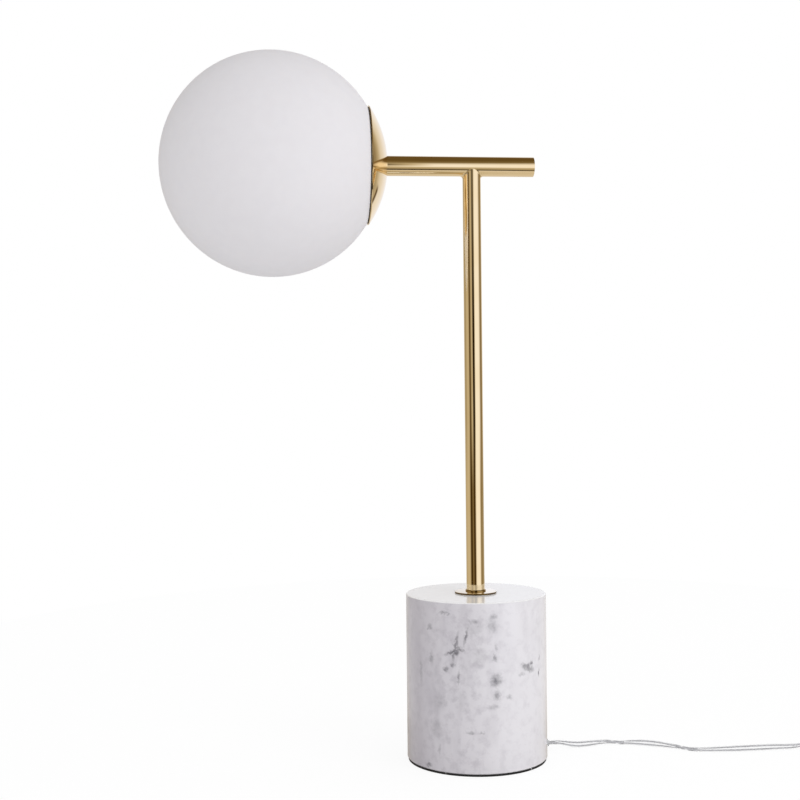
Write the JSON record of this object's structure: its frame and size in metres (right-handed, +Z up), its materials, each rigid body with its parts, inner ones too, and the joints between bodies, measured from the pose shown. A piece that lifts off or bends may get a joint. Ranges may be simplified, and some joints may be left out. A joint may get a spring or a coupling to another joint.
{
  "type": "table lamp",
  "caption": "Table lamp: an opal glass globe in a brass dish on a cross arm, carried by a slim brass pole on a marble cylinder, with a switch in its lead.",
  "frame": {"origin": "on the surface that the lamp stands on, under the pole's axis at the centre of the base", "axes": "+Z up along the pole, +X along the cross arm from the globe towards its tail; the lead leaves towards +X"},
  "size_m": [0.7676, 0.2, 0.638],
  "materials": {
    "marble": "polished",
    "pad": "matt foam",
    "brushed_brass": "brushed and lacquered",
    "polished_brass": "mirror polished",
    "steel": "zinc plated",
    "opal_glass": "matt opal",
    "silicone": "moulded",
    "phenolic": "moulded",
    "contact_brass": "plain",
    "bulb_white": "opal",
    "bulb_black": "glazed",
    "nickel": "nickel plated",
    "board": "coated",
    "clear_pvc": "clear over tinned strands",
    "clear_moulding": "clear moulded",
    "white_moulding": "satin moulded",
    "strap": "woven strap"
  },
  "bodies": {
    "lamp": {"marble_base": "marble", "foot_pad": "pad", "clamp_washer": "steel", "lock_washer": "steel", "rod_nut": "steel", "threaded_rod": "steel", "cord_grommet": "clear_moulding", "cord_clip": "phenolic", "clip_screws": "steel", "foot_disc": "polished_brass", "foot_collar": "brushed_brass", "pole_insert": "contact_brass", "pole_tube": "brushed_brass", "arm_tube": "brushed_brass", "tail_cap": "brushed_brass", "arm_plug": "contact_brass", "braze_bead": "brushed_brass", "dish_cap": "polished_brass", "dish_nut": "steel", "fitter_ring": "contact_brass", "glass_gasket": "silicone", "head_nipple": "steel", "lampholder_cap": "phenolic", "lampholder_insert": "phenolic", "lampholder_skirt": "phenolic", "screw_shell": "contact_brass", "centre_contact": "contact_brass", "terminal_screws": "nickel", "inner_lead": "clear_pvc", "socket_leads": "clear_pvc", "switch_lower_shell": "white_moulding", "switch_upper_shell": "white_moulding", "switch_screws": "steel", "rocker_pin": "steel", "switch_terminals": "contact_brass", "switch_cores": "clear_pvc", "plug_body": "white_moulding", "plug_blades": "nickel", "coil_tie": "strap", "lead_to_switch": "clear_pvc", "lead_to_coil": "clear_pvc", "cord_coil": "clear_pvc"},
    "globe": {"globe_glass": "opal_glass"},
    "bulb": {"bulb_cap": "nickel", "bulb_contact": "nickel", "bulb_insulator": "bulb_black", "bulb_housing": "bulb_white", "led_board": "board", "bulb_diffuser": "bulb_white"},
    "rocker": {"switch_rocker": "white_moulding", "rocker_contact": "contact_brass"}
  },
  "joints": [
    {"name": "globe_removal", "type": "slide", "parent": "lamp", "child": "globe", "axis": [-1, 0, 0], "range_m": [0, 0.115]},
    {"name": "bulb_removal", "type": "slide", "parent": "lamp", "child": "bulb", "axis": [-1, 0, 0], "range_m": [0, 0.03]},
    {"name": "rocker_press", "type": "hinge", "parent": "lamp", "child": "rocker", "pos_m": [0.361, -0.014, 0.0105], "axis": [0, 1, 0], "range_deg": [0, 16]}
  ]
}
